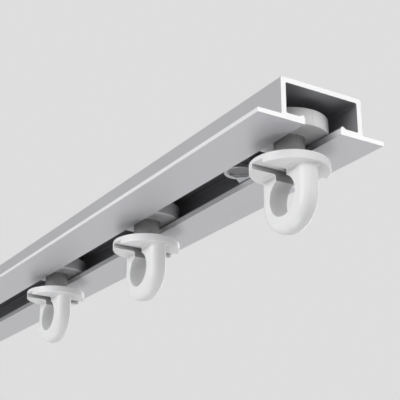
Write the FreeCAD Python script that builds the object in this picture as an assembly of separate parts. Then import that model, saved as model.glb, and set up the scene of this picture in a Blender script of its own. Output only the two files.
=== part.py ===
"""Recessed curtain track: an extruded aluminium rail, moulded gliders and a clamped stop.

Frame: +X runs along the rail towards its open end, +Z is up, y = 0 is the middle of the slot.
The origin is the middle of the row of fixing holes, on the top face of the rail's web.
All lengths are in millimetres.
"""
import math
import os

import FreeCAD
import Part

V = FreeCAD.Vector

# Rail: a channel with a slot between two lips below, and a flange on each side
rail_length = 260.0
rail_height = 9.85
flange_width = 34.0
flange_thickness = 1.05
channel_width = 21.85
wall_thickness = 1.25
web_thickness = 1.2
slot_width = 9.7
lip_thickness = 1.5
bead_height = 0.45
bead_inset = 0.35
bead_width = 0.3
bead_slope = 0.8
corner_radius = 0.5
root_radius = 0.35
flange_edge_radius = 0.15
lip_edge_radius = 0.1

# Fixing holes in the web, countersunk from inside the channel
hole_spacing = 160.0
hole_count = 2
hole_radius = 2.25
countersink_radius = 3.0

# Gliders: a head that runs on the lips, a neck in the slot, a disc below and an eye for the hook
glider_from_end = (12.2, 77.5, 137.0)
head_radius = 8.9
head_thickness = 3.9
head_clearance = 0.25
neck_radius = 3.5
disc_drop = 3.85
disc_radius = 9.05
disc_thickness = 2.1
disc_edge_radius = 0.25
head_edge_radius = 0.2
neck_fillet = 0.5

# Eye: a ring below the disc, with a bore across the rail
eye_radius = 4.6
eye_below_disc = 5.65
ring_inset = 1.0
ring_bottom = 3.65
ring_thickness = 4.9
ring_edge_radius = 2.0
eye_edge_radius = 0.15
ring_root_fillet = 0.6

# Keyway: the slit that opens the eye upwards and runs across the underside of the disc
keyway_width = 3.9
keyway_depth = 1.1
core_radius = 1.2
core_depth = 4.5

# Stop: a bar turned across the channel, on the beads of the lips, with a screw that presses on the web
stop_from_end = 31.75
bar_angle = 48.0
bar_width = 5.0
bar_thickness = 3.0
bar_end_clearance = 0.3
bar_corner_radius = 0.6
bar_chamfer = 0.25
screw_head_radius = 3.9
screw_head_height = 1.0
screw_head_gap = 0.1
screw_radius = 1.5
screw_clearance = 0.08
screw_chamfer = 0.2
screw_tip_length = 0.5
socket_sides = 6
socket_width = 4.8
socket_depth = 0.4
socket_angle = 15.0

# Edges are told apart by their place, to this tolerance
tolerance = 0.0001

# Levels and half widths that several pieces share
underside = -rail_height
lip_top = underside + lip_thickness
bead_top = lip_top + bead_height
web_under = -web_thickness
rail_end = rail_length / 2
inner_half = channel_width / 2 - wall_thickness
slot_half = slot_width / 2
head_under = bead_top + head_clearance
disc_top = underside - disc_drop
disc_under = disc_top - disc_thickness
eye_z = disc_under - eye_below_disc
ring_half = disc_radius - ring_inset
ring_arc_z = eye_z - eye_radius - ring_bottom + ring_half
head_seat = bead_top - screw_head_gap
screw_under = head_seat - screw_head_height


def rounded_wire(corners, place):
    """Closed outline through (a, b, radius) corners, each rounded; place turns (a, b) into a point."""
    flat = [V(a, b, 0) for a, b, radius in corners]
    edges = []
    starts = []
    ends = []
    arcs = []
    for i, point in enumerate(flat):
        radius = corners[i][2]
        back = (flat[i - 1] - point).normalize()
        ahead = (flat[(i + 1) % len(flat)] - point).normalize()
        half_angle = back.getAngle(ahead) / 2
        reach = radius / math.tan(half_angle)
        starts.append(point + back * reach)
        ends.append(point + ahead * reach)
        bisector = (back + ahead).normalize()
        arcs.append(point + bisector * (radius / math.sin(half_angle) - radius))
    for i in range(len(flat)):
        if corners[i][2] > 0:
            edges.append(Part.Arc(place(starts[i]), place(arcs[i]), place(ends[i])).toShape())
        following = (i + 1) % len(flat)
        edges.append(Part.LineSegment(place(ends[i]), place(starts[following])).toShape())
    return Part.Wire(edges)


def along_x(centre, length, corners):
    """Solid with a rounded outline in Y and Z, of the given length along X about its centre."""
    wire = rounded_wire(corners, lambda p: V(centre - length / 2, p.x, p.y))
    return Part.Face(wire).extrude(V(length, 0, 0))


def turned(x, corners):
    """Solid turned about the vertical line at x, from corners of (radius, height, rounding)."""
    wire = rounded_wire(corners, lambda p: V(x + p.x, 0, p.y))
    return Part.Face(wire).revolve(V(x, 0, 0), V(0, 0, 1), 360)


def make_rail():
    half = [
        (channel_width / 2, 0, corner_radius),
        (channel_width / 2, underside + flange_thickness, root_radius),
        (flange_width / 2, underside + flange_thickness, flange_edge_radius),
        (flange_width / 2, underside, flange_edge_radius),
        (slot_half, underside, lip_edge_radius),
        (slot_half, lip_top, lip_edge_radius),
        (slot_half + bead_inset, bead_top, lip_edge_radius),
        (slot_half + bead_inset + bead_width, bead_top, lip_edge_radius),
        (slot_half + bead_inset + bead_width + bead_slope, lip_top, root_radius),
        (inner_half, lip_top, root_radius),
        (inner_half, web_under, root_radius),
    ]
    mirrored = [(-y, z, radius) for y, z, radius in reversed(half)]
    rail = along_x(0, rail_length, half + mirrored)
    countersink_depth = countersink_radius - hole_radius
    for i in range(hole_count):
        x = (i - (hole_count - 1) / 2) * hole_spacing
        hole = Part.makeCylinder(hole_radius, web_thickness, V(x, 0, web_under))
        countersink = Part.makeCone(countersink_radius, hole_radius, countersink_depth, V(x, 0, web_under))
        rail = rail.cut(hole.fuse(countersink))
    return rail


def make_eye(x):
    """Ring of the eye, from inside the disc down to its rounded bottom, with the bore through it."""
    y = ring_thickness / 2
    top = (disc_top + disc_under) / 2
    left_top = V(x - ring_half, -y, top)
    left = V(x - ring_half, -y, ring_arc_z)
    bottom = V(x, -y, ring_arc_z - ring_half)
    right = V(x + ring_half, -y, ring_arc_z)
    right_top = V(x + ring_half, -y, top)
    outline = Part.Wire([
        Part.LineSegment(left_top, left).toShape(),
        Part.Arc(left, bottom, right).toShape(),
        Part.LineSegment(right, right_top).toShape(),
        Part.LineSegment(right_top, left_top).toShape(),
    ])
    ring = Part.Face(outline).extrude(V(0, ring_thickness, 0))
    sides = [e for e in ring.Edges if abs(e.CenterOfMass.y) > y / 2 and e.CenterOfMass.z < disc_under]
    ring = ring.makeFillet(ring_edge_radius, sides)
    bore = Part.makeCylinder(eye_radius, ring_thickness, V(x, -y, eye_z), V(0, 1, 0))
    ring = ring.cut(bore)
    rims = [e for e in ring.Edges if is_bore_rim(e)]
    return ring.makeFillet(eye_edge_radius, rims)


def is_bore_rim(edge):
    """True for the two circles where the bore leaves the ring."""
    if edge.Curve.TypeId != "Part::GeomCircle":
        return False
    round_eye = abs(edge.Curve.Radius - eye_radius) < tolerance
    return round_eye and abs(edge.Curve.Center.z - eye_z) < tolerance


def make_glider(x):
    body = turned(x, [
        (0, head_under + head_thickness, 0),
        (head_radius, head_under + head_thickness, head_edge_radius),
        (head_radius, head_under, head_edge_radius),
        (neck_radius, head_under, neck_fillet),
        (neck_radius, disc_top, neck_fillet),
        (disc_radius, disc_top, disc_edge_radius),
        (disc_radius, disc_under, disc_edge_radius),
        (0, disc_under, 0),
    ])
    glider = body.fuse(make_eye(x))
    roots = [e for e in glider.Edges if is_ring_root(e, x)]
    glider = glider.makeFillet(ring_root_fillet, roots)
    ceiling = disc_under + keyway_depth
    keyway = Part.makeBox(
        keyway_width, 2 * disc_radius, ceiling - eye_z,
        V(x - keyway_width / 2, -disc_radius, eye_z),
    )
    core = Part.makeCylinder(core_radius, core_depth, V(x, 0, ceiling))
    return glider.cut(keyway.fuse(core)).removeSplitter()


def is_ring_root(edge, x):
    """True for the edges where the ring meets the flat underside of the disc."""
    box = edge.BoundBox
    flat = abs(box.ZMin - disc_under) < tolerance and abs(box.ZMax - disc_under) < tolerance
    inside = box.XMin > x - ring_half - tolerance and box.XMax < x + ring_half + tolerance
    return flat and inside


def make_stop_bar(x):
    """Parallelogram in plan: two long sides at the bar's angle, and ends that lie along the walls."""
    angle = math.radians(bar_angle)
    end_y = inner_half - bar_end_clearance
    lean = end_y / math.tan(angle)
    half_end = bar_width / 2 / math.sin(angle)
    plan = [
        (x - lean + half_end, end_y, bar_corner_radius),
        (x - lean - half_end, end_y, bar_corner_radius),
        (x + lean - half_end, -end_y, bar_corner_radius),
        (x + lean + half_end, -end_y, bar_corner_radius),
    ]
    outline = Part.Face(rounded_wire(plan, lambda p: V(p.x, p.y, bead_top)))
    bar = outline.extrude(V(0, 0, bar_thickness))
    rims = [e for e in bar.Edges if e.BoundBox.ZLength < tolerance]
    bar = bar.makeChamfer(bar_chamfer, rims)
    tapped = Part.makeCylinder(screw_radius + screw_clearance, bar_thickness, V(x, 0, bead_top))
    return bar.cut(tapped)


def make_stop_screw(x):
    screw = turned(x, [
        (0, screw_under, 0),
        (screw_head_radius - screw_chamfer, screw_under, 0),
        (screw_head_radius, screw_under + screw_chamfer, 0),
        (screw_head_radius, head_seat, 0),
        (screw_radius, head_seat, 0),
        (screw_radius, web_under - screw_tip_length, 0),
        (screw_radius - screw_tip_length, web_under, 0),
        (0, web_under, 0),
    ])
    half_side = math.pi / socket_sides
    reach = socket_width / 2 / math.cos(half_side)
    corners = []
    for i in range(socket_sides):
        angle = math.radians(socket_angle) + half_side * (2 * i + 1)
        corners.append(V(x + reach * math.cos(angle), reach * math.sin(angle), screw_under))
    outline = Part.Face(Part.makePolygon(corners + corners[:1]))
    return screw.cut(outline.extrude(V(0, 0, socket_depth)))


def main():
    os.makedirs("parts", exist_ok=True)
    nodes = {"track_rail": make_rail()}
    for number, distance in enumerate(glider_from_end, start=1):
        nodes["glider_%d" % number] = make_glider(rail_end - distance)
    nodes["stop_bar"] = make_stop_bar(rail_end - stop_from_end)
    nodes["stop_screw"] = make_stop_screw(rail_end - stop_from_end)
    for name, shape in nodes.items():
        shape.exportStep("parts/%s.step" % name)
        print(name, shape.ShapeType, len(shape.Solids), shape.isValid(), round(shape.Volume, 2))


main()
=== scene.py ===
# %% [markdown]
# # A recessed curtain track, dressed for a product picture
#
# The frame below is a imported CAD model: an extruded aluminium rail, three moulded gliders that slide
# along it, and a stop that is clamped in its channel. This lesson gives every surface its finish, adds
# the small things that a drawing leaves out, such as a screw thread and mould marks, and lights the lot
# like a catalogue picture taken from below.

# %% Load the frame
import math

import bpy
from mathutils import Matrix, Vector


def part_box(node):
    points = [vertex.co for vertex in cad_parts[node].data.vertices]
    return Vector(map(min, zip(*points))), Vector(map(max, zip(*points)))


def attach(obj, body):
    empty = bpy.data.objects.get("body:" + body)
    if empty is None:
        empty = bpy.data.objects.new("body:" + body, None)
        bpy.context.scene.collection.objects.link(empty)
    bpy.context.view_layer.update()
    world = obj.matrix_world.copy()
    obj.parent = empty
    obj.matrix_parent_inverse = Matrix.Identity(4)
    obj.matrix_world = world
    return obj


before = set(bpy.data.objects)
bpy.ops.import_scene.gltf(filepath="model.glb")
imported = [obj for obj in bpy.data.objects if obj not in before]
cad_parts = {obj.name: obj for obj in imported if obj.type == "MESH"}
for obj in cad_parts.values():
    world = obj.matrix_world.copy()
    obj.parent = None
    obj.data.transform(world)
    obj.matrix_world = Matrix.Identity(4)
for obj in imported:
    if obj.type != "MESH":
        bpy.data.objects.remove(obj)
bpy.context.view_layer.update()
MM = 0.001

# %% [markdown]
# ## The camera
#
# The picture is taken from below, in front of the open end, with a long lens. The camera's place and
# turn were found from the edges of the rail's section, so they are given as numbers: a place, and two
# directions of the camera. The place is counted from the rail's end, so it follows the rail if its
# length changes.

# %% Place the camera
rail_low, rail_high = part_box("track_rail")
CAMERA_FROM_END = Vector((151.69, -125.13, -99.52)) * MM
CAMERA_RIGHT = Vector((0.5277, 0.8495, 0.0))
CAMERA_BACK = Vector((0.7947, -0.4936, -0.3534))
CAMERA_LENS = 90.54
SENSOR_WIDTH = 36.0
NEAREST_SEEN = 5.0 * MM

bpy.ops.object.camera_add()
camera = bpy.context.object
camera.name = "photo_camera"
camera.data.lens = CAMERA_LENS
camera.data.sensor_width = SENSOR_WIDTH
camera.data.clip_start = NEAREST_SEEN
back = CAMERA_BACK.normalized()
up = back.cross(CAMERA_RIGHT).normalized()
right = up.cross(back)
camera_turn = Matrix((right, up, back)).transposed().to_4x4()
camera_place = Vector((rail_high.x, 0, rail_high.z)) + CAMERA_FROM_END
camera.matrix_world = Matrix.Translation(camera_place) @ camera_turn
bpy.context.scene.camera = camera
print("camera at", [round(v, 4) for v in camera_place])

# %% [markdown]
# ## Node helpers
#
# Every finish below is a small graph of nodes, as one would draw it in the shader editor. A few helpers
# keep the graphs short: one adds a node and sets its inputs, where an input may be a number, a colour
# or the output of another node, and one starts a material with its shader. An input goes by its label,
# or by the letter i and its number where several inputs have the same label.

# %% Node helpers


def add_node(tree, kind, settings=None, **inputs):
    node = tree.nodes.new(kind)
    for key, value in (settings or {}).items():
        setattr(node, key, value)
    for key, value in inputs.items():
        numbered = key[0] == "i" and key[1:].isdigit()
        plug(tree, node.inputs[int(key[1:]) if numbered else key.replace("_", " ")], value)
    return node


def plug(tree, socket, value):
    if isinstance(value, bpy.types.NodeSocket):
        tree.links.new(value, socket)
    else:
        socket.default_value = value


def new_finish(name):
    material = bpy.data.materials.new(name)
    material.use_nodes = True
    tree = material.node_tree
    return material, tree, tree.nodes["Principled BSDF"]


def calculate(tree, operation, first, second):
    return add_node(tree, "ShaderNodeMath", {"operation": operation}, i0=first, i1=second).outputs[0]


def maximum(tree, first, second):
    return calculate(tree, "MAXIMUM", first, second)


def both(tree, first, second):
    return calculate(tree, "MULTIPLY", first, second)


def spread(tree, value, low, high):
    """Turns a value from 0 to 1 into one from low to high."""
    return add_node(tree, "ShaderNodeMapRange", Value=value, To_Min=low, To_Max=high).outputs[0]


# %% [markdown]
# ## The stage
#
# The track hangs in the air, so a pale floor lies far below it. A white backdrop could simply be lit
# until it glows, but then it would light the object too. Here the camera and the metal see the floor
# and the world as one plain pale grey, and everything else gets a weaker light from them: the Light
# Path node tells the rays apart.

# %% Floor and world
FLOOR_DROP = 1.6
FLOOR_SIZE = 14.0
FLOOR_PAINT = (0.8, 0.8, 0.8, 1)
FLOOR_ROUGHNESS = 0.9
FLOOR_SEEN = 0.75
WORLD_SEEN = 1.0
WORLD_COLOUR = (1, 1, 1, 1)
BACKDROP = 0.73
AMBIENT = 0.35


def seen_rays(tree, camera_share):
    """1 for rays that metal or glass sends out, and the given share for the camera's own."""
    path = add_node(tree, "ShaderNodeLightPath").outputs
    direct = both(tree, path["Is Camera Ray"], camera_share)
    mirrored = maximum(tree, path["Is Glossy Ray"], path["Is Transmission Ray"])
    return maximum(tree, direct, mirrored)


def pale_floor():
    bpy.ops.object.select_all(action="DESELECT")
    bpy.ops.mesh.primitive_plane_add(size=FLOOR_SIZE, location=(0, 0, -FLOOR_DROP))
    floor = bpy.context.object
    floor.name = "studio_floor"
    paint, tree, shader = new_finish("floor_paint")
    shader.inputs["Base Color"].default_value = FLOOR_PAINT
    shader.inputs["Roughness"].default_value = FLOOR_ROUGHNESS
    glow = add_node(tree, "ShaderNodeEmission", Color=(BACKDROP, BACKDROP, BACKDROP, 1))
    mix = add_node(
        tree, "ShaderNodeMixShader",
        i0=seen_rays(tree, FLOOR_SEEN), i1=shader.outputs[0], i2=glow.outputs[0])
    tree.links.new(mix.outputs[0], tree.nodes["Material Output"].inputs["Surface"])
    floor.data.materials.append(paint)
    return floor


def studio_world():
    world = bpy.data.worlds.new("studio_world")
    world.use_nodes = True
    tree = world.node_tree
    background = tree.nodes["Background"]
    background.inputs["Color"].default_value = WORLD_COLOUR
    level = spread(tree, seen_rays(tree, WORLD_SEEN), AMBIENT, BACKDROP)
    tree.links.new(level, background.inputs["Strength"])
    return world


pale_floor()
bpy.context.scene.world = studio_world()
print("floor", FLOOR_DROP, "m below the track")

# %% [markdown]
# ## The lamps
#
# A studio lights a thing like this with a few large soft boxes. The key lamp stands beyond and above
# the open end and lights the sawn section, the front lamp lights the gliders' faces, and the lamp from
# below lights the undersides. The side and back lamps keep the far side from going dark, and two faint
# ones draw glints along the edges. Disks about half a metre wide, about a metre away, give shadows with
# soft borders.

# %% Lamps
AIM = Vector((0.08, 0, -0.01))

# Each lamp: the direction in which it stands, its distance and width in metres, and its power in watts
LAMPS = {
    "key_lamp": ((0.7, 0.05, 0.7), 1.1, 0.45, 4.0),
    "front_lamp": ((0.2, -0.95, 0.18), 1.1, 0.45, 6.6),
    "under_lamp": ((-0.05, -0.2, -1.0), 1.1, 0.6, 4.2),
    "glint_lamp": ((0.7, 0.57, 0.43), 1.1, 0.6, 0.7),
    "rim_lamp": ((-0.79, -0.49, 0.35), 1.1, 0.6, 0.5),
    "side_lamp": ((0.6, 0.8, 0.0), 1.2, 0.7, 3.0),
    "back_lamp": ((-0.5, 0.85, 0.1), 1.2, 0.7, 4.0),
}


def soft_lamp(name, direction, distance, width, power):
    place = AIM + Vector(direction).normalized() * distance
    bpy.ops.object.light_add(type="AREA", location=place)
    lamp = bpy.context.object
    lamp.name = name
    lamp.data.shape = "DISK"
    lamp.data.size = width
    lamp.data.energy = power
    lamp.rotation_euler = (AIM - place).to_track_quat("-Z", "Y").to_euler()


for name, lamp_values in LAMPS.items():
    soft_lamp(name, *lamp_values)

# %% [markdown]
# ## Masks and mixes
#
# The rail is one mesh that stays as it is, so its finishes can't each have faces of their own. A mask
# does it instead: a number that is 1 where a finish lies and 0 elsewhere, made by comparing a point's
# place with a limit. Multiplying two masks keeps what lies in both. A mix then chooses a number or a
# colour by a mask, and a ramp lets one finish fade into another.

# %% Masks and mixes


def above(tree, value, limit):
    return calculate(tree, "GREATER_THAN", value, limit)


def below(tree, value, limit):
    return calculate(tree, "LESS_THAN", value, limit)


def ramp(tree, value, start, end, top=1.0):
    """Goes from 0, where the value is at start, to top, where it is at end."""
    rise = add_node(tree, "ShaderNodeMapRange", Value=value, From_Min=start, From_Max=end, To_Max=top)
    return rise.outputs[0]


def mix_number(tree, mask, first, second):
    mix = add_node(tree, "ShaderNodeMix", {"data_type": "FLOAT"}, i0=mask, i2=first, i3=second)
    return mix.outputs[0]


def mix_colour(tree, mask, first, second):
    mix = add_node(tree, "ShaderNodeMix", {"data_type": "RGBA"}, i0=mask, i6=first, i7=second)
    return mix.outputs[2]


def scaled(tree, vector, factor):
    scale = add_node(tree, "ShaderNodeVectorMath", {"operation": "SCALE"}, i0=vector, Scale=factor)
    return scale.outputs[0]


def noise(tree, spot, scale, detail):
    return add_node(tree, "ShaderNodeTexNoise", Vector=spot, Scale=scale, Detail=detail).outputs[0]


def bump(tree, height, strength, distance):
    relief = add_node(tree, "ShaderNodeBump", Height=height, Strength=strength, Distance=distance)
    return relief.outputs[0]


# %% [markdown]
# ## Where the rail's finishes lie
#
# The undersides, which show in a room, are brushed and anodised. All else keeps the duller skin that
# the die left: above the flanges, inside the channel and on the faces of the slot. The ends are sawn
# after that, so the saw's finish lies in the last hundredths of a millimetre. The faces of the slot
# carry a painted light, pale along the run behind the first glider and partly pale at the open end,
# with painted shade beside the first glider's neck. The rims of the flanges carry a painted highlight.

# %% Zones of the rail
SAWN_SKIN = 0.02 * MM
FLANGE_TOP = rail_low.z + 1.0 * MM
LIP_TOP = rail_low.z + 1.45 * MM
LIP_BACK = 6.0 * MM
WALL_MIDDLE = 10.3 * MM
WEB_MIDDLE = rail_high.z - 0.6 * MM
SLOT_SIDE = 4.9 * MM
SLOT_FOOT = rail_low.z + 0.08 * MM
FLANGE_RIM = rail_high.y - 0.08 * MM
# Where the painted light on the slot's faces lies, with painted shade beside the first glider's neck,
# and how strong the painted highlight on the flanges' rims is
RIM_HIGHLIGHT_SHARE = 0.4
PAINTED_LIGHT_STARTS = rail_high.x - 14.0 * MM
PAINTED_LIGHT_IS_FULL = rail_high.x - 20.0 * MM
END_LIGHT_STARTS = rail_high.x - 10.0 * MM
END_LIGHT_SHARE = 0.75


def size_of(tree, value):
    return add_node(tree, "ShaderNodeMath", {"operation": "ABSOLUTE"}, i0=value).outputs[0]


def rail_zones(tree, spot):
    x, y, z = add_node(tree, "ShaderNodeSeparateXYZ", Vector=spot).outputs
    aside = size_of(tree, y)
    over_flange = both(tree, above(tree, z, FLANGE_TOP), above(tree, aside, LIP_BACK))
    hidden = maximum(tree, over_flange, above(tree, z, LIP_TOP))
    lip_height = both(tree, above(tree, z, SLOT_FOOT), below(tree, z, LIP_TOP))
    slot_face = both(tree, lip_height, below(tree, aside, SLOT_SIDE))
    # Painted light along the slot behind the first glider and at the open end; painted shade in
    # between, beside its neck
    lit_run = ramp(tree, x, PAINTED_LIGHT_STARTS, PAINTED_LIGHT_IS_FULL)
    lit_end = ramp(tree, x, END_LIGHT_STARTS, rail_high.x, END_LIGHT_SHARE)
    rim = both(tree, above(tree, aside, FLANGE_RIM), RIM_HIGHLIGHT_SHARE)
    return {
        "sawn": above(tree, size_of(tree, x), rail_high.x - SAWN_SKIN),
        "hidden": hidden,
        "inside": both(tree, below(tree, aside, WALL_MIDDLE), below(tree, z, WEB_MIDDLE)),
        "unbrushed": maximum(tree, hidden, slot_face),
        "painted_light": maximum(tree, both(tree, slot_face, maximum(tree, lit_run, lit_end)), rim),
    }


# Where the painted light on the faces of the slot begins, behind the open end
print("slot lit from", round((rail_high.x - PAINTED_LIGHT_STARTS) / MM, 1), "mm behind the open end")

# %% [markdown]
# ## Anodised aluminium
#
# The rail is pressed through a die, so its faces carry faint straight lines along their whole length,
# and the satin anodising lays a soft grey over them. The sawn ends are brighter, and marked across by
# the saw. Lines of both kinds could be painted, but noise that is stretched in one direction, a few
# hundred times for the die and about five times for the saw, gives them at any length. Above the
# flanges the colour is darker, partly for the duller skin and partly as painted shade; inside the
# channel painted shade makes it dark; where the painted light lies it is pale and matt.

# %% Lines of the die and the saw
DIE_LINES = (6.0, 2600.0, 2600.0)
DIE_DETAIL = 3.0
SAW_LINES = (1.0, 700.0, 3800.0)
SAW_DETAIL = 2.0
UNSCALED = 1.0


def stretched_noise(tree, spot, stretch, detail):
    stretched = add_node(tree, "ShaderNodeMapping", Vector=spot, Scale=stretch).outputs[0]
    return noise(tree, stretched, UNSCALED, detail)


def rail_marks(tree, spot, sawn):
    die = stretched_noise(tree, spot, DIE_LINES, DIE_DETAIL)
    saw = stretched_noise(tree, spot, SAW_LINES, SAW_DETAIL)
    return mix_number(tree, sawn, die, saw)


# %% Colour of the rail
ALUMINIUM = (0.63, 0.63, 0.655, 1)
SAWN = (0.93, 0.93, 0.93, 1)
# Above the flanges: the duller skin, darkened further by painted shade. Inside the channel: painted
# shade.
MILL_AND_PAINTED_SHADE = (0.45, 0.45, 0.465, 1)
CHANNEL_PAINTED_SHADE = (0.33, 0.33, 0.345, 1)
# The pale colour of the painted light on the slot's faces and of the painted highlight on the flanges'
# rims
PAINTED_LIGHT = (0.9, 0.9, 0.91, 1)
CLOUD_SCALE = 60.0
CLOUD_DETAIL = 4.0
CLOUD_TONES = (0.96, 1.04)


def rail_colour(tree, spot, zones):
    # Painted shade inside the channel and above the flanges, then painted light on the slot's faces and
    # rims
    shaded_skin = mix_colour(tree, zones["inside"], MILL_AND_PAINTED_SHADE, CHANNEL_PAINTED_SHADE)
    skin = mix_colour(tree, zones["unbrushed"], ALUMINIUM, shaded_skin)
    lit_skin = mix_colour(tree, zones["painted_light"], skin, PAINTED_LIGHT)
    colour = mix_colour(tree, zones["sawn"], lit_skin, SAWN)
    tone = spread(tree, noise(tree, spot, CLOUD_SCALE, CLOUD_DETAIL), *CLOUD_TONES)
    return scaled(tree, colour, tone)


# %% Finish the rail
METAL = 0.6
# The painted light is matt
PAINTED_LIGHT_METAL = 0.0
SAWN_METAL = 0.34
SATIN_ROUGHNESS = (0.36, 0.5)
DULL_ROUGHNESS = 0.6
LINE_STRENGTH = 0.12
LINE_DEPTH = 0.03 * MM


def aluminium_finish():
    material, tree, shader = new_finish("anodised_aluminium")
    spot = add_node(tree, "ShaderNodeTexCoord").outputs["Object"]
    zones = rail_zones(tree, spot)
    marks = rail_marks(tree, spot, zones["sawn"])
    satin = spread(tree, marks, *SATIN_ROUGHNESS)
    lit_metal = mix_number(tree, zones["painted_light"], METAL, PAINTED_LIGHT_METAL)
    plug(tree, shader.inputs["Base Color"], rail_colour(tree, spot, zones))
    plug(tree, shader.inputs["Roughness"], mix_number(tree, zones["hidden"], satin, DULL_ROUGHNESS))
    plug(tree, shader.inputs["Metallic"], mix_number(tree, zones["sawn"], lit_metal, SAWN_METAL))
    plug(tree, shader.inputs["Normal"], bump(tree, marks, LINE_STRENGTH, LINE_DEPTH))
    return material


def dress(node, material):
    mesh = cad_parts[node].data
    mesh.materials.clear()
    mesh.materials.append(material)
    print(node, "wears", material.name)


dress("track_rail", aluminium_finish())

# %% [markdown]
# ## White acetal
#
# The gliders are moulded in a white, slightly waxy plastic that runs well on metal. Light goes a little
# way into it, so thin edges look soft, and the mould leaves a fine, even grain. Subsurface scattering
# with a radius under a millimetre gives the first, and two sizes of noise in the bump give the second.
# A painted shade darkens the hollows: in the eye, in the slit, in the blind hole and around the neck.
# Ambient occlusion, which tells how much of a point's sky its own piece hides, finds those places by
# itself. The neck gets a deeper painted shade, and the head above it gets none.

# %% Colour of the gliders
ACETAL = (0.79, 0.79, 0.795, 1)
PAINTED_SHADE = (0.07, 0.07, 0.072, 1)
SHADE_REACH = 10.0 * MM
SHADE_FROM = 0.17
SHADE_TO = 0.7
SKY_SAMPLES = 12
NECK_TOP = rail_low.z + 2.1 * MM
NECK_FOOT = rail_low.z - 3.8 * MM
NECK_SHADE_TONE = 0.64


def acetal_colour(tree, spot):
    height = add_node(tree, "ShaderNodeSeparateXYZ", Vector=spot).outputs["Z"]
    # Painted shade in the hollows that ambient occlusion finds, but none on the head
    settings = {"samples": SKY_SAMPLES, "only_local": True}
    sky = add_node(tree, "ShaderNodeAmbientOcclusion", settings, Distance=SHADE_REACH).outputs["AO"]
    shade_free = ramp(tree, sky, SHADE_FROM, SHADE_TO)
    unshaded = maximum(tree, shade_free, above(tree, height, NECK_TOP))
    # Painted shade on the neck, on top of the painted shade in the hollows
    shaded_neck = both(tree, above(tree, height, NECK_FOOT), below(tree, height, NECK_TOP))
    colour = mix_colour(tree, unshaded, PAINTED_SHADE, ACETAL)
    return scaled(tree, colour, spread(tree, shaded_neck, 1.0, NECK_SHADE_TONE))


# %% Finish the gliders
GLIDERS = ("glider_1", "glider_2", "glider_3")
GRAIN_SCALE = 5200.0
GRAIN_DETAIL = 2.0
GRAIN_STRENGTH = 0.1
GRAIN_DEPTH = 0.04 * MM
FLOW_SCALE = 240.0
FLOW_DETAIL = 3.0
FLOW_SHARE = 0.35
ACETAL_ROUGHNESS = (0.36, 0.5)
ACETAL_IOR = 1.48
GLOW_SHARE = 0.12
GLOW_RADIUS = (1.0, 0.95, 0.9)
GLOW_SCALE = 0.5 * MM


def acetal_finish():
    material, tree, shader = new_finish("white_acetal")
    spot = add_node(tree, "ShaderNodeTexCoord").outputs["Object"]
    grain = noise(tree, spot, GRAIN_SCALE, GRAIN_DETAIL)
    flow = noise(tree, spot, FLOW_SCALE, FLOW_DETAIL)
    height = mix_number(tree, FLOW_SHARE, grain, flow)
    plug(tree, shader.inputs["Base Color"], acetal_colour(tree, spot))
    plug(tree, shader.inputs["Roughness"], spread(tree, flow, *ACETAL_ROUGHNESS))
    plug(tree, shader.inputs["Normal"], bump(tree, height, GRAIN_STRENGTH, GRAIN_DEPTH))
    shader.inputs["IOR"].default_value = ACETAL_IOR
    shader.inputs["Subsurface Weight"].default_value = GLOW_SHARE
    shader.inputs["Subsurface Radius"].default_value = GLOW_RADIUS
    shader.inputs["Subsurface Scale"].default_value = GLOW_SCALE
    return material


white_acetal = acetal_finish()
for name in GLIDERS:
    dress(name, white_acetal)

# %% [markdown]
# ## Zinc and steel
#
# The stop's bar is zinc plated, with the faint blotches that the bath leaves, and its screw is plain
# dull steel. Both carry a painted shade: the screw in its socket and over one side of its rim, and the
# bar on one half. It is a tone in the material: a round patch beside the screw's axis, near the lower
# face.

# %% Painted shade on the stop
SHADING_HEIGHT = 0.6 * MM

# Each patch of painted shade: how far its middle lies beside the axis, where it starts to fade and
# ends, and its tone
SCREW_SHADING = {"aside": Vector((0.85, -0.5, 0)) * MM, "fades": 2.9 * MM, "ends": 3.3 * MM, "tone": 0.4}
BAR_SHADING = {"aside": Vector((4.5, -5.0, 0)) * MM, "fades": 6.0 * MM, "ends": 6.8 * MM, "tone": 0.1}


def shading_tone(tree, spot, foot, shading):
    """The painted shade's tone in a round patch beside the upright axis through foot, and 1 elsewhere.
    """
    middle = foot + shading["aside"]
    offset = add_node(tree, "ShaderNodeVectorMath", {"operation": "SUBTRACT"}, i0=spot, i1=middle)
    x, y, height = add_node(tree, "ShaderNodeSeparateXYZ", Vector=offset.outputs[0]).outputs
    flat = add_node(tree, "ShaderNodeCombineXYZ", X=x, Y=y).outputs[0]
    reach = add_node(tree, "ShaderNodeVectorMath", {"operation": "LENGTH"}, i0=flat).outputs["Value"]
    patch = ramp(tree, reach, shading["ends"], shading["fades"])
    return spread(tree, both(tree, patch, below(tree, height, SHADING_HEIGHT)), 1.0, shading["tone"])


# %% Finish the stop
ZINC = (0.74, 0.75, 0.77)
ZINC_METAL = 0.5
ZINC_ROUGHNESS = (0.4, 0.55)
STEEL = (0.55, 0.55, 0.57)
STEEL_METAL = 1.0
STEEL_ROUGHNESS = (0.36, 0.52)
BLOTCH_SCALE = 900.0
BLOTCH_DETAIL = 4.0
BLOTCH_TONES = (0.85, 1.12)
BLOTCH_STRENGTH = 0.1
BLOTCH_DEPTH = 0.04 * MM


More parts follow.
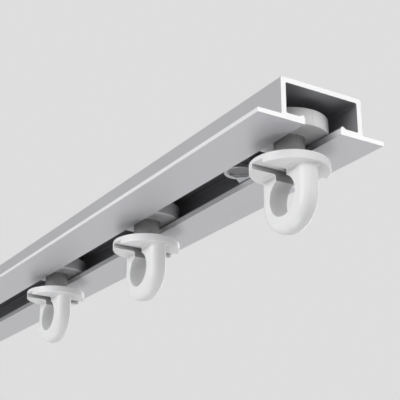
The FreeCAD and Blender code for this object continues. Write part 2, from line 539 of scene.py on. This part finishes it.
def shaded_finish(name, colour, metal, roughness, foot, shading):
    material, tree, shader = new_finish(name)
    spot = add_node(tree, "ShaderNodeTexCoord").outputs["Object"]
    blotch = noise(tree, spot, BLOTCH_SCALE, BLOTCH_DETAIL)
    # The bath's blotches, times the painted shade near the screw's axis
    tone = both(tree, spread(tree, blotch, *BLOTCH_TONES), shading_tone(tree, spot, foot, shading))
    plug(tree, shader.inputs["Base Color"], scaled(tree, colour, tone))
    plug(tree, shader.inputs["Roughness"], spread(tree, blotch, *roughness))
    plug(tree, shader.inputs["Normal"], bump(tree, blotch, BLOTCH_STRENGTH, BLOTCH_DEPTH))
    shader.inputs["Metallic"].default_value = metal
    return material


screw_low, screw_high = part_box("stop_screw")
bar_low, bar_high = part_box("stop_bar")
screw_middle = (screw_low + screw_high) / 2
screw_foot = Vector((screw_middle.x, screw_middle.y, screw_low.z))
bar_foot = Vector((screw_middle.x, screw_middle.y, bar_low.z))
zinc_plate = shaded_finish("zinc_plate", ZINC, ZINC_METAL, ZINC_ROUGHNESS, bar_foot, BAR_SHADING)
screw_steel = shaded_finish("screw_steel", STEEL, STEEL_METAL, STEEL_ROUGHNESS, screw_foot, SCREW_SHADING)
dress("stop_bar", zinc_plate)
dress("stop_screw", screw_steel)

# %% [markdown]
# ## Mould lines
#
# A glider is moulded between two halves that meet in the middle plane of its eye, and a hair-thin ridge
# stays where they met. It could be drawn point by point, but the glider's own mesh already holds it: a
# copy is merged, cut by that plane, and everything except the cut is thrown away. So is the loop inside
# the eye, which is trimmed clean for the hook. The outline that is left becomes a thin round bead, half
# sunk in the surface. The gliders are alike, so the bead is made once, and each glider gets a copy with
# a mesh of its own.

# %% Helpers for new pieces
SMOOTH_ANGLE = math.radians(40)


def only(piece):
    bpy.ops.object.select_all(action="DESELECT")
    piece.select_set(True)
    bpy.context.view_layer.objects.active = piece


def copy_to(piece, shift):
    only(piece)
    bpy.ops.object.duplicate()
    twin = bpy.context.object
    twin.location.x = shift
    return twin


def one_for_each_glider(first):
    """The first glider's piece, and a copy of it at the same place on each of the others."""
    first_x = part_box(GLIDERS[0])[0].x
    pieces = {GLIDERS[0]: first}
    for name in GLIDERS[1:]:
        pieces[name] = copy_to(first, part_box(name)[0].x - first_x)
    return pieces


def settle(piece, name, body, material):
    only(piece)
    bpy.ops.object.transform_apply(location=True, rotation=True, scale=True)
    bpy.ops.object.shade_smooth_by_angle(angle=SMOOTH_ANGLE)
    piece.name = name
    piece.data.name = name
    piece.data.materials.clear()
    piece.data.materials.append(material)
    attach(piece, body)
    print(name, "has", len(piece.data.polygons), "faces")


# %% Model the mould lines
MOULD_RIDGE = 0.04 * MM
RIDGE_RESOLUTION = 1
MERGE = 0.001 * MM
EYE_RADIUS = 4.65 * MM
EYE_TOP = rail_low.z - 4.8 * MM
EYE_BOTTOM = rail_low.z - 16.3 * MM
CORE_RADIUS = 1.4 * MM
CORE_TOP = rail_low.z - 0.2 * MM


def in_eye(aside, height):
    eye = aside < EYE_RADIUS and EYE_BOTTOM < height < EYE_TOP
    core = aside < CORE_RADIUS and EYE_TOP <= height < CORE_TOP
    return eye or core


def middle_outline(node):
    """A copy of the node's mesh, cut down to its outline in the middle plane, without the eye."""
    bpy.ops.object.select_all(action="DESELECT")
    bpy.ops.mesh.primitive_plane_add(size=MM)
    piece = bpy.context.object
    piece.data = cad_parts[node].data.copy()
    bpy.ops.object.mode_set(mode="EDIT")
    bpy.ops.mesh.select_all(action="SELECT")
    bpy.ops.mesh.remove_doubles(threshold=MERGE)
    bpy.ops.mesh.bisect(plane_co=(0, 0, 0), plane_no=(0, 1, 0), clear_inner=True, clear_outer=True)
    bpy.ops.mesh.select_all(action="DESELECT")
    bpy.ops.object.mode_set(mode="OBJECT")
    low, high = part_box(node)
    middle_x = (low.x + high.x) / 2
    for point in piece.data.vertices:
        point.select = in_eye(abs(point.co.x - middle_x), point.co.z)
    bpy.ops.object.mode_set(mode="EDIT")
    bpy.ops.mesh.delete(type="VERT")
    bpy.ops.object.mode_set(mode="OBJECT")


def mould_line(node):
    middle_outline(node)
    bpy.ops.object.convert(target="CURVE")
    curve = bpy.context.object.data
    curve.bevel_depth = MOULD_RIDGE
    curve.bevel_resolution = RIDGE_RESOLUTION
    bpy.ops.object.convert(target="MESH")
    return bpy.context.object


for name, piece in one_for_each_glider(mould_line(GLIDERS[0])).items():
    settle(piece, name + "_mould_line", name, white_acetal)

# %% [markdown]
# ## The gate mark
#
# The plastic runs into the mould through a small gate on the mould line, and a round stub with a dished
# end stays where it was cut off. It sits on the rim of the disc. It could be a bump in the material,
# but its shape shows at the disc's edge, so it is a mesh: a short cylinder lies mostly in the rim, its
# outer face is inset twice, and the inner part is pressed in.

# %% Model the gate marks
GATE_RADIUS = 0.6 * MM
GATE_LENGTH = 0.5 * MM
GATE_PROUD = 0.1 * MM
GATE_DISH = 0.06 * MM
GATE_SIDES = 24
GATE_BORDER = 0.3 * GATE_RADIUS
GATE_SLOPE = 0.2 * GATE_RADIUS
DISC_BELOW_RAIL = 4.9 * MM
FACING_OUT = -0.9
QUARTER_TURN = math.pi / 2


def pick_faces(piece, wanted):
    bpy.ops.object.mode_set(mode="EDIT")
    bpy.ops.mesh.select_mode(type="FACE")
    bpy.ops.mesh.select_all(action="DESELECT")
    bpy.ops.object.mode_set(mode="OBJECT")
    for face in piece.data.polygons:
        face.select = wanted(face)
    bpy.ops.object.mode_set(mode="EDIT")


def gate_mark(node):
    rim_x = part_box(node)[0].x
    place = (rim_x - GATE_PROUD + GATE_LENGTH / 2, 0, rail_low.z - DISC_BELOW_RAIL)
    bpy.ops.object.select_all(action="DESELECT")
    bpy.ops.mesh.primitive_cylinder_add(
        vertices=GATE_SIDES, radius=GATE_RADIUS, depth=GATE_LENGTH,
        location=place, rotation=(0, QUARTER_TURN, 0))
    piece = bpy.context.object
    bpy.ops.object.transform_apply(location=True, rotation=True, scale=True)
    pick_faces(piece, lambda face: face.normal.x < FACING_OUT)
    bpy.ops.mesh.inset(thickness=GATE_BORDER)
    bpy.ops.mesh.inset(thickness=GATE_SLOPE)
    bpy.ops.transform.translate(value=(GATE_DISH, 0, 0))
    bpy.ops.object.mode_set(mode="OBJECT")
    return piece


for name, piece in one_for_each_glider(gate_mark(GLIDERS[0])).items():
    settle(piece, name + "_gate_mark", name, white_acetal)

# %% [markdown]
# ## The screw's thread
#
# The drawing gives the screw a smooth shank. On the real one a thread runs up to the web, and its free
# part shows from the open end. A stack of rings would look alike from afar, but a thread climbs: a
# triangle beside the axis is wound up by the Screw modifier, one pitch per turn, and its two ends are
# closed. The smooth shank stays as the core of the thread.

# %% Model the screw's thread
THREAD_PITCH = 0.5 * MM
THREAD_DEPTH = 0.2 * MM
THREAD_SIDES = 3
THREAD_STEPS = 32
SHANK_RADIUS = 1.5 * MM
TIP_LENGTH = 0.5 * MM


def thread_profile():
    """A triangle in the plane y = 0, on the shank's side, with one corner pointing outwards."""
    beside = (SHANK_RADIUS, 0, 0)
    bpy.ops.object.select_all(action="DESELECT")
    bpy.ops.mesh.primitive_circle_add(
        vertices=THREAD_SIDES, radius=THREAD_DEPTH, location=beside, rotation=(QUARTER_TURN, 0, 0))
    bpy.ops.object.transform_apply(location=True, rotation=True, scale=True)
    bpy.ops.object.mode_set(mode="EDIT")
    bpy.ops.mesh.select_all(action="SELECT")
    # With no window this operator turns the other way, so the minus brings a corner from +Z to +X
    bpy.ops.transform.rotate(value=-QUARTER_TURN, orient_axis="Y", center_override=beside)
    bpy.ops.object.mode_set(mode="OBJECT")
    return bpy.context.object


def thread():
    piece = thread_profile()
    wind = piece.modifiers.new("wind", "SCREW")
    wind.axis = "Z"
    wind.screw_offset = THREAD_PITCH
    wind.iterations = int((screw_high.z - TIP_LENGTH - bar_high.z) / THREAD_PITCH) - 1
    wind.steps = THREAD_STEPS
    wind.render_steps = THREAD_STEPS
    bpy.ops.object.modifier_apply(modifier="wind")
    bpy.ops.object.mode_set(mode="EDIT")
    bpy.ops.mesh.select_all(action="SELECT")
    bpy.ops.mesh.fill_holes(sides=THREAD_SIDES)
    bpy.ops.mesh.normals_make_consistent(inside=False)
    bpy.ops.object.mode_set(mode="OBJECT")
    piece.location = (screw_middle.x, screw_middle.y, bar_high.z + THREAD_PITCH / 2)
    return piece


settle(thread(), "stop_screw_thread", "rail", screw_steel)

# %% [markdown]
# ## View
#
# The Standard view shows colours as they are written, where a film-like view would bend them.

# %% Settings
bpy.context.scene.view_settings.view_transform = "Standard"
